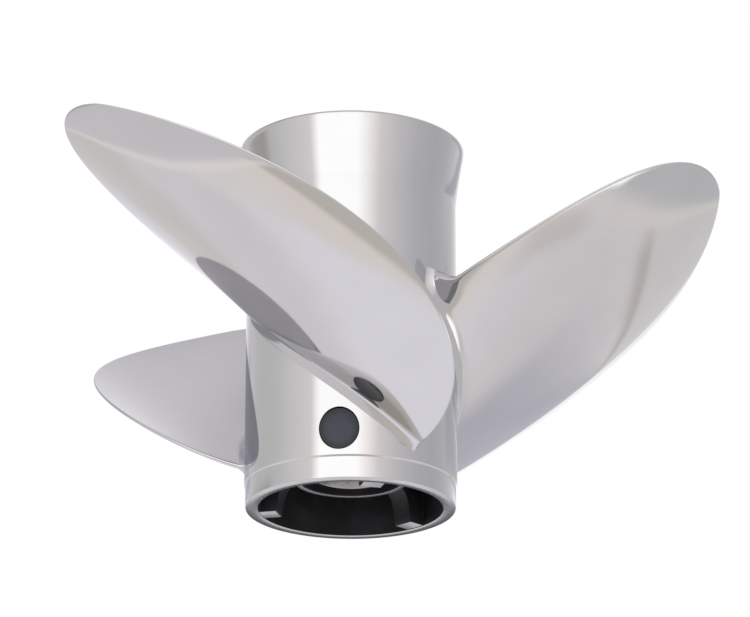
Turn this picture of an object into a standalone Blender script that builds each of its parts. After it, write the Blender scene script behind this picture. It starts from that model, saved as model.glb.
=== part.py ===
"""Outboard boat propeller: three raked blades on an exhaust barrel, left-hand helix.

The casting is kept as its named parts: barrel, inner hub, ribs and blades. The vent plugs,
the drive bush and the splined sleeve are the pieces that are fitted into it.
Metres, +Z runs aft along the shaft, and heights in the dimensions are above the front rim.
"""

import math

import bmesh
import bpy
import numpy as np
from mathutils import Matrix, Vector

# Whole propeller
BLADE_COUNT = 3
BLADE_DIAMETER = 0.3937
BALANCE_HEIGHT = 0.0859
FIRST_BLADE_DEG = -2.5
SEAT_GAP = 0.0003
# How far a cutter reaches past the material that it cuts
OVERSHOOT = 0.0050

# Exhaust barrel
BARREL_RADIUS = 0.0556
BARREL_LENGTH = 0.2000
BAND_RADIUS = 0.0549
BAND_HEIGHT = 0.0115
STEP_WIDTH = 0.0008
RIM_BORE_RADIUS = 0.0482
RIM_CHAMFER = 0.0010
AFT_BORE_RADIUS = 0.0505
AFT_BORE_HEIGHT = 0.1460
FLARE_START = 0.1660
FLARE_RADIUS = 0.0603
FLARE_BORE_RADIUS = 0.0572
FLARE_POWER = 1.3
FLARE_STEPS = 6
LIP_ROUND = 0.0014
TURNED_STEPS = 72

# Blade outline, in degrees about the shaft at five stations from the tip to the root
TIP_DEG = -8.0
LEADING_EDGE_DEG = (TIP_DEG, 5.7, 32.1, 57.9, 69.0)
TRAILING_EDGE_DEG = (TIP_DEG, -18.1, -25.2, -30.8, -39.5)
# Height of the blade's reference line: at the root, and its linear and curved rise to the tip
RAKE_ROOT, RAKE_RISE, RAKE_CURVE = 0.0740, 0.0693, 0.0139
# Pitch at the root, and its linear and curved change to the tip
PITCH_ROOT, PITCH_RISE, PITCH_CURVE = 0.2830, 0.1780, -0.1350
ROOT_THICKNESS, EDGE_THICKNESS = 0.0066, 0.0014
THINNING_POWER = 1.5
SECTION_FULLNESS = 0.7
TIP_CAMBER = 0.014
ROOT_FILLET = 0.0030
TIP_SHARE = 0.05
SPAN_ROWS = 17
FILLET_ROWS = 4
FILLET_CROWDING = 1.6
ROOT_STRIPS = 4
CHORD_COLUMNS = 18
BLADE_SHARP_DEG = 50

# Inner hub and ribs
HUB_RADIUS = 0.0302
HUB_BORE_RADIUS = 0.0265
HUB_FRONT = 0.0152
HUB_AFT = 0.1280
HUB_SHOULDER_RADIUS = 0.0210
HUB_SHOULDER = 0.0070
HUB_CHAMFER = 0.0010
RIB_FIRST_DEG = 44.8
RIB_FRONT_WIDTH, RIB_AFT_WIDTH = 0.0116, 0.0080
RIB_FOOT_RADIUS = 0.0385
RIB_HOLLOW_HEIGHT = 0.0175
RIB_HOLLOW_STEPS = 5
RIB_FRONT = 0.0004
RIB_AFT = 0.1260

# Drive bush and splined sleeve
BUSH_FRONT, BUSH_AFT = 0.0190, 0.1206
SLEEVE_RADIUS = 0.0186
SLEEVE_FRONT, SLEEVE_AFT = 0.0166, 0.1310
SEAT_RADIUS = 0.0170
SEAT_DEPTH = 0.0080
SEAT_STEP = 0.0012
SLEEVE_BORE_RADIUS = 0.0122
SLEEVE_CHAMFER = 0.0006
SPLINE_COUNT = 15
SPLINE_MINOR_RADIUS, SPLINE_MAJOR_RADIUS = 0.0132, 0.0146
# Half widths of a groove at its mouth and at its floor, as shares of the spacing
GROOVE_MOUTH, GROOVE_FLOOR = 0.30, 0.18

# Vent plugs
VENT_HEIGHT = 0.0265
VENT_OFFSET_DEG = 26.2
# The vent holes are a little taller than wide
VENT_RADIUS = 0.0114
VENT_WIDTH_SHARE = 0.913
PLUG_INNER_RADIUS = 0.0492
PLUG_SETBACK = 0.0008
PLUG_CROWN = 0.0006
PLUG_EDGE = 0.0014
PLUG_SIDES = 40
PLUG_SHARP_DEG = 40

STAINLESS = ("polished_stainless_casting", (0.72, 0.71, 0.72, 1.0), 1.0, 0.10)
CAST_INSIDE = ("cast_stainless_inside", (0.16, 0.16, 0.17, 1.0), 1.0, 0.45)
BUSH_POLYMER = ("black_drive_polymer", (0.015, 0.015, 0.017, 1.0), 0.0, 0.55)
SLEEVE_METAL = ("machined_sleeve_metal", (0.48, 0.47, 0.46, 1.0), 1.0, 0.30)
PLUG_PLASTIC = ("dark_moulded_plastic", (0.035, 0.042, 0.065, 1.0), 0.0, 0.38)


def clear_scene():
    for item in list(bpy.data.objects):
        bpy.data.objects.remove(item, do_unlink=True)


def make_collection(name):
    collection = bpy.data.collections.new(name)
    bpy.context.scene.collection.children.link(collection)
    return collection


def make_material(name, colour, metallic, roughness):
    material = bpy.data.materials.new(name)
    material.use_nodes = True
    shader = material.node_tree.nodes["Principled BSDF"]
    shader.inputs["Base Color"].default_value = colour
    shader.inputs["Metallic"].default_value = metallic
    shader.inputs["Roughness"].default_value = roughness
    return material


def add_object(name, mesh, collection, material=None):
    item = bpy.data.objects.new(name, mesh)
    collection.objects.link(item)
    if material:
        mesh.materials.append(material)
    return item


def mesh_from(bm, name, smooth_deg=None):
    bmesh.ops.recalc_face_normals(bm, faces=bm.faces)
    mesh = bpy.data.meshes.new(name)
    bm.to_mesh(mesh)
    bm.free()
    if smooth_deg:
        mesh.shade_smooth()
        mesh.set_sharp_from_angle(angle=math.radians(smooth_deg))
    return mesh


def turned(name, outline, collection, material=None):
    """A closed (radius, height) outline turned about the shaft with a Screw modifier."""
    points = [(radius, 0.0, height - BALANCE_HEIGHT) for radius, height in outline]
    edges = [(i, (i + 1) % len(points)) for i in range(len(points))]
    mesh = bpy.data.meshes.new(name)
    mesh.from_pydata(points, edges, [])
    item = add_object(name, mesh, collection, material)
    screw = item.modifiers.new("turn", "SCREW")
    screw.axis = "Z"
    screw.angle = math.tau
    screw.steps = screw.render_steps = TURNED_STEPS
    screw.use_merge_vertices = True
    screw.merge_threshold = 0.00001
    screw.use_smooth_shade = True
    return item


def cut(item, cutter, operation="DIFFERENCE"):
    boolean = item.modifiers.new(operation.lower(), "BOOLEAN")
    boolean.operation = operation
    boolean.solver = "EXACT"
    boolean.object = cutter


def make_cutter(item):
    item.hide_render = True
    item.display_type = "WIRE"
    return item


def blade_share(radius):
    """How far out a radius lies: 0 at the barrel, 1 at the tip."""
    return (radius - BARREL_RADIUS) / (BLADE_DIAMETER / 2 - BARREL_RADIUS)


def edge_curve(stations_deg):
    """The smooth curve through an edge's stations, which close up near the tip."""
    places = np.linspace(0.0, 1.0, len(stations_deg))
    return np.polynomial.Polynomial.fit(places, stations_deg, len(stations_deg) - 1)


def pitch_at(share):
    return PITCH_ROOT + PITCH_RISE * share + PITCH_CURVE * share**2


def reference_height(share):
    return RAKE_ROOT + RAKE_RISE * share + RAKE_CURVE * share**2


def fillet_at(distance):
    """How far the root fillet stands out from the blade, this far above the barrel."""
    reach = max(ROOT_FILLET - distance, 0.0)
    return ROOT_FILLET - math.sqrt(ROOT_FILLET**2 - reach**2)


def blade_radii():
    """Radii of the sections: close together in the root fillet and again towards the tip."""
    root = BARREL_RADIUS + SEAT_GAP
    tip = BLADE_DIAMETER / 2
    fillet = [root + ROOT_FILLET * (i / FILLET_ROWS) ** FILLET_CROWDING for i in range(FILLET_ROWS)]
    reach = math.sqrt((tip - root - ROOT_FILLET) / (tip - BARREL_RADIUS))
    shares = [reach + (TIP_SHARE - reach) * i / SPAN_ROWS for i in range(SPAN_ROWS + 1)]
    return fillet + [tip - (tip - BARREL_RADIUS) * share**2 for share in shares]


def section_points(radius):
    """Front and aft faces of one blade section, laid on a cylinder of this radius."""
    share = blade_share(radius)
    station = math.sqrt(1.0 - share)
    leading = math.radians(edge_curve(LEADING_EDGE_DEG)(station))
    trailing = math.radians(edge_curve(TRAILING_EDGE_DEG)(station))
    fillet = fillet_at(radius - BARREL_RADIUS - SEAT_GAP)
    leading += fillet / radius
    trailing -= fillet / radius
    pitch = pitch_at(share)
    slope = math.atan2(pitch, math.tau * radius)
    swell = (ROOT_THICKNESS - EDGE_THICKNESS) * station**THINNING_POWER
    camber = TIP_CAMBER * share * radius * (leading - trailing) / math.cos(slope)
    front, aft = [], []
    for column in range(CHORD_COLUMNS + 1):
        chord = 0.5 - 0.5 * math.cos(math.pi * column / CHORD_COLUMNS)
        angle = leading + (trailing - leading) * chord
        arch = 4.0 * chord * (1.0 - chord)
        half = 0.5 * (EDGE_THICKNESS + swell * arch**SECTION_FULLNESS) + fillet
        bow = -camber * arch
        for face, offset in ((front, bow - half), (aft, bow + half)):
            around = angle + offset * math.sin(slope) / radius
            height = reference_height(share) - pitch * angle / math.tau
            height += offset * math.cos(slope) - BALANCE_HEIGHT
            face.append((radius * math.cos(around), radius * math.sin(around), height))
    return front, aft


def across(bm, front, aft, strips):
    """Lines of points from the front face to the aft face, on the section's cylinder."""
    lines = [front]
    for strip in range(1, strips):
        line = []
        for start, end in zip(front, aft):
            point = start.co.lerp(end.co, strip / strips)
            point.xy *= start.co.xy.length / point.xy.length
            line.append(bm.verts.new(point))
        lines.append(line)
    return lines + [aft]


def blade_mesh(name):
    """A loft through the sections, closed by strips along the edges, the root and the tip."""
    bm = bmesh.new()
    rows = []
    for radius in blade_radii():
        front, aft = [[bm.verts.new(point) for point in face] for face in section_points(radius)]
        rows.append(across(bm, front, aft, 1 if rows else ROOT_STRIPS))
    for row, following in zip(rows, rows[1:]):
        for i in range(CHORD_COLUMNS):
            bm.faces.new((row[0][i], row[0][i + 1], following[0][i + 1], following[0][i]))
            bm.faces.new((row[-1][i], following[-1][i], following[-1][i + 1], row[-1][i + 1]))
        for end in (0, -1):
            near = [line[end] for line in row]
            far = [line[end] for line in reversed(following)]
            bm.faces.new(near + far)
    for row in (rows[0], rows[-1]):
        for line, following in zip(row, row[1:]):
            for i in range(CHORD_COLUMNS):
                bm.faces.new((line[i], following[i], following[i + 1], line[i + 1]))
    return mesh_from(bm, name, BLADE_SHARP_DEG)


def add_blades(parts, material):
    for number in range(BLADE_COUNT):
        blade = add_object(f"blade_{number + 1}", blade_mesh("blade"), parts, material)
        blade.rotation_euler.z = math.radians(FIRST_BLADE_DEG) + math.tau * number / BLADE_COUNT


def flare_line(start_radius, lip_radius):
    """The curve of the flare from its start up to the rounded lip."""
    line = []
    for i in range(FLARE_STEPS + 1):
        share = i / FLARE_STEPS
        radius = start_radius + (lip_radius - start_radius) * share**FLARE_POWER
        line.append((radius, FLARE_START + (BARREL_LENGTH - LIP_ROUND - FLARE_START) * share))
    return line


def barrel_outline():
    """Outer side down from the flared aft lip to the front rim, then up the bore."""
    return [
        (FLARE_BORE_RADIUS + LIP_ROUND / 2, BARREL_LENGTH),
        (FLARE_RADIUS - LIP_ROUND, BARREL_LENGTH),
        *reversed(flare_line(BARREL_RADIUS, FLARE_RADIUS)),
        (BARREL_RADIUS, BAND_HEIGHT + STEP_WIDTH),
        (BAND_RADIUS, BAND_HEIGHT),
        (BAND_RADIUS, RIM_CHAMFER),
        (BAND_RADIUS - RIM_CHAMFER, 0.0),
        (RIM_BORE_RADIUS + RIM_CHAMFER, 0.0),
        (RIM_BORE_RADIUS, RIM_CHAMFER),
        (RIM_BORE_RADIUS, RIB_AFT),
        (AFT_BORE_RADIUS, AFT_BORE_HEIGHT),
        *flare_line(AFT_BORE_RADIUS, FLARE_BORE_RADIUS),
    ]


def vent_angle(number):
    return math.radians(FIRST_BLADE_DEG + VENT_OFFSET_DEG) + math.tau * number / BLADE_COUNT


def radial_disc(name, radius, inner, outer, angle, crown=0.0):
    """A plug or cutter with the vents' outline, which points outwards from the shaft."""
    bm = bmesh.new()
    depth = outer - inner
    bmesh.ops.create_cone(
        bm, cap_ends=True, segments=PLUG_SIDES, radius1=radius, radius2=radius, depth=depth
    )
    if crown:
        outer_face = max(bm.faces, key=lambda face: face.calc_center_median().z)
        bmesh.ops.inset_region(bm, faces=[outer_face], thickness=PLUG_EDGE)
        bmesh.ops.translate(bm, vec=(0, 0, crown), verts=list(outer_face.verts))
    bmesh.ops.scale(bm, vec=(1.0, VENT_WIDTH_SHARE, 1.0), verts=bm.verts)
    turn = Matrix.Rotation(angle, 4, "Z") @ Matrix.Rotation(math.pi / 2, 4, "Y")
    place = Matrix.Translation(turn @ Vector((0, 0, inner + depth / 2)))
    lift = Matrix.Translation((0, 0, VENT_HEIGHT - BALANCE_HEIGHT))
    bmesh.ops.transform(bm, matrix=lift @ place @ turn, verts=bm.verts)
    return mesh_from(bm, name, PLUG_SHARP_DEG)


def add_barrel(parts, cutters, material):
    barrel = turned("exhaust_barrel", barrel_outline(), parts, material)
    inner, outer = RIM_BORE_RADIUS - OVERSHOOT, BARREL_RADIUS + OVERSHOOT
    for number in range(BLADE_COUNT):
        mesh = radial_disc("vent_cutter", VENT_RADIUS, inner, outer, vent_angle(number))
        cut(barrel, make_cutter(add_object(f"vent_cutter_{number + 1}", mesh, cutters)))


def add_plugs(parts, material):
    radius = VENT_RADIUS - SEAT_GAP
    outer = BARREL_RADIUS - PLUG_SETBACK
    for number in range(BLADE_COUNT):
        angle = vent_angle(number)
        mesh = radial_disc("vent_plug", radius, PLUG_INNER_RADIUS, outer, angle, PLUG_CROWN)
        add_object(f"vent_plug_{number + 1}", mesh, parts, material)


def add_inner_hub(parts, material):
    outline = [
        (HUB_RADIUS, HUB_AFT),
        (HUB_RADIUS, HUB_FRONT + HUB_CHAMFER),
        (HUB_RADIUS - HUB_CHAMFER, HUB_FRONT),
        (HUB_BORE_RADIUS + HUB_CHAMFER, HUB_FRONT),
        (HUB_BORE_RADIUS, HUB_FRONT + HUB_CHAMFER),
        (HUB_BORE_RADIUS, HUB_AFT - HUB_SHOULDER),
        (HUB_SHOULDER_RADIUS, HUB_AFT - HUB_SHOULDER),
        (HUB_SHOULDER_RADIUS, HUB_AFT),
    ]
    turned("inner_hub", outline, parts, material)


def add_ribs(parts, cutters, material):
    """Tapered radial slabs, trimmed to the exhaust passage between hub and barrel."""
    inner, outer = HUB_RADIUS + SEAT_GAP, RIM_BORE_RADIUS - SEAT_GAP
    # The front edge hollows back from the foot to the hub, steep at the foot
    hollow = []
    for i in range(RIB_HOLLOW_STEPS + 1):
        turn = math.pi / 2 * i / RIB_HOLLOW_STEPS
        radius = inner + (RIB_FOOT_RADIUS - inner) * math.cos(turn)
        hollow.append((radius, RIB_FRONT + RIB_HOLLOW_HEIGHT * math.sin(turn)))
    passage_outline = [
        (outer, RIB_AFT),
        (outer, RIM_CHAMFER),
        (outer - RIM_CHAMFER, RIB_FRONT),
        *hollow,
        (inner, RIB_AFT),
    ]
    passage = make_cutter(turned("passage_trim", passage_outline, cutters))
    for number in range(BLADE_COUNT):
        bm = bmesh.new()
        bmesh.ops.create_cube(bm, size=1.0)
        for vert in bm.verts:
            front = vert.co.z < 0
            vert.co.x = inner - OVERSHOOT if vert.co.x < 0 else outer + OVERSHOOT
            vert.co.y *= RIB_FRONT_WIDTH if front else RIB_AFT_WIDTH
            vert.co.z = (-OVERSHOOT if front else RIB_AFT + OVERSHOOT) - BALANCE_HEIGHT
        angle = math.radians(RIB_FIRST_DEG) + math.tau * number / BLADE_COUNT
        bmesh.ops.rotate(bm, matrix=Matrix.Rotation(angle, 3, "Z"), verts=bm.verts)
        rib = add_object(f"rib_{number + 1}", mesh_from(bm, "rib"), parts, material)
        cut(rib, passage, "INTERSECT")


def add_drive_bush(parts, material):
    outer, inner = HUB_BORE_RADIUS - SEAT_GAP, SLEEVE_RADIUS + SEAT_GAP
    outline = [(outer, BUSH_AFT), (outer, BUSH_FRONT), (inner, BUSH_FRONT), (inner, BUSH_AFT)]
    turned("drive_bush", outline, parts, material)


def spline_cutter(cutters):
    """A toothed bar along the shaft, which leaves the sleeve's spline grooves."""
    bm = bmesh.new()
    ring = []
    start = SLEEVE_FRONT - OVERSHOOT - BALANCE_HEIGHT
    corners = (
        (-GROOVE_MOUTH, SPLINE_MINOR_RADIUS),
        (-GROOVE_FLOOR, SPLINE_MAJOR_RADIUS),
        (GROOVE_FLOOR, SPLINE_MAJOR_RADIUS),
        (GROOVE_MOUTH, SPLINE_MINOR_RADIUS),
    )
    for tooth in range(SPLINE_COUNT):
        for turn, radius in corners:
            angle = math.tau / SPLINE_COUNT * (tooth + turn)
            ring.append(bm.verts.new((radius * math.cos(angle), radius * math.sin(angle), start)))
    face = bm.faces.new(ring)
    raised = bmesh.ops.extrude_face_region(bm, geom=[face])
    tops = [part for part in raised["geom"] if isinstance(part, bmesh.types.BMVert)]
    bmesh.ops.translate(bm, vec=(0, 0, SLEEVE_AFT - SLEEVE_FRONT + 2 * OVERSHOOT), verts=tops)
    return make_cutter(add_object("spline_cutter", mesh_from(bm, "spline_cutter"), cutters))


def add_splined_sleeve(parts, cutters, material):
    outline = [
        (SLEEVE_RADIUS - SLEEVE_CHAMFER, SLEEVE_AFT),
        (SLEEVE_RADIUS, SLEEVE_AFT - SLEEVE_CHAMFER),
        (SLEEVE_RADIUS, SLEEVE_FRONT + SLEEVE_CHAMFER),
        (SLEEVE_RADIUS - SLEEVE_CHAMFER, SLEEVE_FRONT),
        (SEAT_RADIUS, SLEEVE_FRONT),
        (SPLINE_MAJOR_RADIUS, SLEEVE_FRONT + SEAT_DEPTH),
        (SLEEVE_BORE_RADIUS, SLEEVE_FRONT + SEAT_DEPTH + SEAT_STEP),
        (SLEEVE_BORE_RADIUS, SLEEVE_AFT),
    ]
    sleeve = turned("splined_sleeve", outline, parts, material)
    cut(sleeve, spline_cutter(cutters))


def main():
    clear_scene()
    parts = make_collection("outboard_boat_propeller")
    cutters = make_collection("cutters")
    stainless = make_material(*STAINLESS)
    inside = make_material(*CAST_INSIDE)
    add_barrel(parts, cutters, stainless)
    add_blades(parts, stainless)
    add_inner_hub(parts, inside)
    add_ribs(parts, cutters, inside)
    add_plugs(parts, make_material(*PLUG_PLASTIC))
    add_drive_bush(parts, make_material(*BUSH_POLYMER))
    add_splined_sleeve(parts, cutters, make_material(*SLEEVE_METAL))


main()
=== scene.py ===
import math

import bpy
import numpy as np
from mathutils import Matrix, Vector


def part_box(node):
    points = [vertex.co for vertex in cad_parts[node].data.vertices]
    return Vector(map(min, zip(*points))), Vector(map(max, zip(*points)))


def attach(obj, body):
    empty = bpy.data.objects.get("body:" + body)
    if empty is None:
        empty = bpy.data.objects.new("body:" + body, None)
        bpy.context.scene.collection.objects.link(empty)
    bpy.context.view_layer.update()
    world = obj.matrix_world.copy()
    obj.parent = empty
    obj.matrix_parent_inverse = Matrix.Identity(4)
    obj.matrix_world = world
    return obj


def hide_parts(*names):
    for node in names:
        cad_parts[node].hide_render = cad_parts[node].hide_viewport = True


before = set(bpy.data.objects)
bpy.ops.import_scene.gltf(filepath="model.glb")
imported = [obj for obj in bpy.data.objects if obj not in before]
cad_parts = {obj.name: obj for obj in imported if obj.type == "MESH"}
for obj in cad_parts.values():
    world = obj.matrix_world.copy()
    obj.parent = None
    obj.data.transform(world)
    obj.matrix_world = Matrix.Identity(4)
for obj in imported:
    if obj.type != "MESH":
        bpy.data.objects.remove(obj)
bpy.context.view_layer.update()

print("frame loaded,", len(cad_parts), "nodes")

# Sizes that the frame gives: +Z runs aft, the front rim is the lowest point
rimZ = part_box("exhaust_barrel")[0].z
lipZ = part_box("exhaust_barrel")[1].z
hubFrontZ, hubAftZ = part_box("inner_hub")[0].z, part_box("inner_hub")[1].z
sleeveFrontZ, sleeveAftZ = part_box("splined_sleeve")[0].z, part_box("splined_sleeve")[1].z
bushFrontZ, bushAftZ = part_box("drive_bush")[0].z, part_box("drive_bush")[1].z
ribFrontZ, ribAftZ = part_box("rib_1")[0].z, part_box("rib_1")[1].z
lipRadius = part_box("exhaust_barrel")[1].x
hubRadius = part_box("inner_hub")[1].x
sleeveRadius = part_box("splined_sleeve")[1].x
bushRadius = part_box("drive_bush")[1].x


# Working helpers

def selectOnly(*pieces):
    bpy.ops.object.select_all(action="DESELECT")
    for piece in pieces:
        piece.select_set(True)
    bpy.context.view_layer.objects.active = pieces[0]


def editMode(piece, mode="VERT"):
    selectOnly(piece)
    bpy.ops.object.mode_set(mode="EDIT")
    bpy.ops.mesh.select_mode(type=mode)
    bpy.ops.mesh.select_all(action="DESELECT")


def settlePlace(piece):
    selectOnly(piece)
    bpy.ops.object.transform_apply(location=True, rotation=True, scale=True)


def rename(piece, name):
    piece.name = piece.data.name = name
    return piece


def vertexPlaces(piece):
    places = np.zeros(len(piece.data.vertices) * 3)
    piece.data.vertices.foreach_get("co", places)
    return places.reshape(-1, 3)


def setPlaces(piece, places):
    piece.data.vertices.foreach_set("co", places.astype(np.float32).ravel())
    piece.data.update()


# How far each vertex lies from the piece's edge, which the finish reads
def noteEdge(piece, distance):
    note = piece.data.attributes.new("fromEdge", "FLOAT", "POINT")
    note.data.foreach_set("value", distance.astype(np.float32))


def applyModifiers(piece):
    selectOnly(piece)
    for modifier in list(piece.modifiers):
        bpy.ops.object.modifier_apply(modifier=modifier.name)


def cutWith(piece, cutter):
    boolean = piece.modifiers.new("cut", "BOOLEAN")
    boolean.solver = "EXACT"
    boolean.object = cutter
    applyModifiers(piece)
    bpy.data.objects.remove(cutter)


def finishShading(piece, degrees):
    selectOnly(piece)
    bpy.ops.object.shade_smooth_by_angle(angle=math.radians(degrees))


# A profile's corners, (radius, height, rounding), as a fine line of (radius, height) points
def roundedProfile(corners, steps=6):
    line = []
    for i, (radius, height, rounding) in enumerate(corners):
        here = Vector((radius, height))
        if not rounding:
            line.append(tuple(here))
            continue
        back = (Vector(corners[i - 1][:2]) - here).normalized()
        ahead = (Vector(corners[(i + 1) % len(corners)][:2]) - here).normalized()
        half = back.angle(ahead) / 2
        centre = here + (back + ahead).normalized() * rounding / math.sin(half)
        start = here + back * rounding / math.tan(half) - centre
        end = here + ahead * rounding / math.tan(half) - centre
        line += [tuple(centre + start.slerp(end, k / steps).normalized() * rounding)
                 for k in range(steps + 1)]
    return line


# A turned shape: a circle that is extruded ring by ring along its profile and bridged to a closed skin
def turnProfile(name, profile, sides, solid=False):
    bpy.ops.object.select_all(action="DESELECT")
    radius, height = profile[0]
    bpy.ops.mesh.primitive_circle_add(vertices=sides, radius=radius, location=(0, 0, height),
                                      fill_type="NGON" if solid else "NOTHING")
    piece = rename(bpy.context.object, name)
    settlePlace(piece)
    editMode(piece, "EDGE")
    bpy.ops.mesh.select_all(action="SELECT")
    for (r0, z0), (r1, z1) in zip(profile, profile[1:]):
        bpy.ops.mesh.extrude_region_move(TRANSFORM_OT_translate={"value": (0, 0, z1 - z0)})
        bpy.ops.transform.resize(value=(r1 / r0, r1 / r0, 1), center_override=(0, 0, z1))
    bpy.ops.mesh.select_all(action="DESELECT")
    bpy.ops.mesh.select_non_manifold()
    if not solid:
        bpy.ops.mesh.bridge_edge_loops()
    bpy.ops.mesh.select_all(action="SELECT")
    bpy.ops.mesh.normals_make_consistent(inside=False)
    bpy.ops.object.mode_set(mode="OBJECT")
    return piece


# Exhaust barrel

barrel = {
    "radius": 0.0556,
    "bandRadius": 0.0549,
    "bandHeight": 0.0115,
    "stepHeight": 0.0008,
    "stepRounding": 0.0003,
    "boreRadius": 0.0482,
    "rimRounding": 0.0006,
    "aftBoreRadius": 0.0505,
    "aftBoreHeights": (0.126, 0.146),
    "flareStart": 0.166,
    "flarePower": 1.3,
    "flareSteps": 14,
    "flareBoreRadius": 0.0572,
    "lipRounding": 0.0014,
    "sides": 320,
    "sharpDeg": 30,
}
vent = {
    "radius": 0.0114,
    "widthShare": 0.913,
    "height": 0.0265,
    "offsetDeg": 26.2,
    "cutDepth": 0.030,
    "sides": 128,
}
blade = {
    "count": 3,
    "firstDeg": -2.5,
    "diameter": 0.3937,
    # Outline angles about the shaft at five even stations from the tip to the root
    "leadingDeg": (-8.0, 5.7, 32.1, 57.9, 69.0),
    "trailingDeg": (-8.0, -18.1, -25.2, -30.8, -39.5),
    "rake": (0.0740, 0.0693, 0.0139),
    "pitch": (0.2830, 0.1780, -0.1350),
    "rootThickness": 0.0066,
    "edgeThickness": 0.0014,
    "bluntThickness": (0.0010, 0.0036),
    "bluntPower": 10,
    "bluntReach": 0.3,
    "thinningPower": 1.5,
    "fullness": 0.7,
    "camber": 0.014,
    "rootFillet": 0.0030,
    "noseFilletShare": 0.4,
    "noseReach": 0.2,
    "frontFilletShare": 1.15,
    "filletFlatness": 0.7,
    "heelRadius": 0.0130,
    "heelReach": 0.0160,
    "columns": 84,
    "spanRows": 72,
    "filletRows": 14,
    "skirtDepths": (0.00003, 0.0020),
    "skirtReach": 0.0005,
    "weldDistance": 0.0000002,
    "sharpDeg": 60,
}


def bladeAngle(number):
    return math.radians(blade["firstDeg"]) + math.tau * number / blade["count"]


# The vents look outwards from the shaft, and are a little taller than wide
def ventPlace(number):
    turn = Matrix.Rotation(bladeAngle(number) + math.radians(vent["offsetDeg"]), 4, "Z")
    return (Matrix.Translation((0, 0, rimZ + vent["height"])) @ turn @ Matrix.Rotation(math.pi / 2, 4, "Y")
            @ Matrix.Diagonal((1, vent["widthShare"], 1, 1)))


def flareLine(innerRadius, outerRadius):
    top = lipZ - barrel["lipRounding"]
    start = rimZ + barrel["flareStart"]
    line = []
    for i in range(1, barrel["flareSteps"]):
        rise = i / barrel["flareSteps"]
        line.append((innerRadius + (outerRadius - innerRadius) * rise ** barrel["flarePower"],
                     start + (top - start) * rise, 0))
    return line


def makeBarrel():
    b = barrel
    step = rimZ + b["bandHeight"]
    start = rimZ + b["flareStart"]
    corners = [
        (b["bandRadius"], rimZ, b["rimRounding"]),
        (b["bandRadius"], step, b["stepRounding"]),
        (b["radius"], step + b["stepHeight"], b["stepRounding"]),
        (b["radius"], start, 0),
        *flareLine(b["radius"], lipRadius),
        (lipRadius, lipZ, b["lipRounding"]),
        (b["flareBoreRadius"], lipZ, b["lipRounding"] / 2),
        *reversed(flareLine(b["aftBoreRadius"], b["flareBoreRadius"])),
        (b["aftBoreRadius"], start, 0),
        (b["aftBoreRadius"], rimZ + b["aftBoreHeights"][1], 0),
        (b["boreRadius"], rimZ + b["aftBoreHeights"][0], 0),
        (b["boreRadius"], rimZ, b["rimRounding"] / 2),
    ]
    piece = turnProfile("exhaustBarrel", roundedProfile(corners), b["sides"])
    for number in range(blade["count"]):
        bpy.ops.object.select_all(action="DESELECT")
        bpy.ops.mesh.primitive_cylinder_add(vertices=vent["sides"], radius=vent["radius"],
                                            depth=vent["cutDepth"])
        cutter = bpy.context.object
        cutter.matrix_world = ventPlace(number) @ Matrix.Translation((0, 0, b["radius"]))
        cutWith(piece, cutter)
    height = vertexPlaces(piece)[:, 2]
    noteEdge(piece, np.minimum(height - rimZ, lipZ - height))
    finishShading(piece, b["sharpDeg"])
    return piece


# Blades: two grids bent to the front and aft faces of the helical blade, welded along the outline

def edgeCurve(degrees, station):
    places = np.linspace(0, 1, len(degrees))
    return np.radians(np.polynomial.Polynomial.fit(places, degrees, len(degrees) - 1)(station))


# Rows from the hidden skirt inside the barrel wall, up the root fillet, out to the tip
def bladeRows():
    b = blade
    root, tip, fillet = barrel["radius"], b["diameter"] / 2, b["rootFillet"]
    rows = [(root - depth, fillet + b["skirtReach"]) for depth in reversed(b["skirtDepths"])]
    for i in range(b["filletRows"]):
        turn = math.pi / 2 * i / b["filletRows"]
        hollow = (1 - b["filletFlatness"]) * (1 - math.sin(turn)) + b["filletFlatness"] * math.cos(turn)
        rows.append((root + fillet * (1 - math.cos(turn)), fillet * hollow))
    reach = math.sqrt((tip - root - fillet) / (tip - root))
    for i in range(b["spanRows"] + 1):
        station = reach * (1 - i / b["spanRows"])
        rows.append((tip - (tip - root) * station ** 2, 0.0))
    return np.array(rows)


# Distance of each point to a line of points, of which two may coincide
def distanceToLine(points, line):
    start, along = line[:-1], line[1:] - line[:-1]
    offset = points[:, None] - start
    lengthSquared = np.maximum((along ** 2).sum(1), 1e-18)
    share = np.clip((offset * along).sum(2) / lengthSquared, 0, 1)
    return np.linalg.norm(offset - share[..., None] * along, axis=2).min(1)


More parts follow.
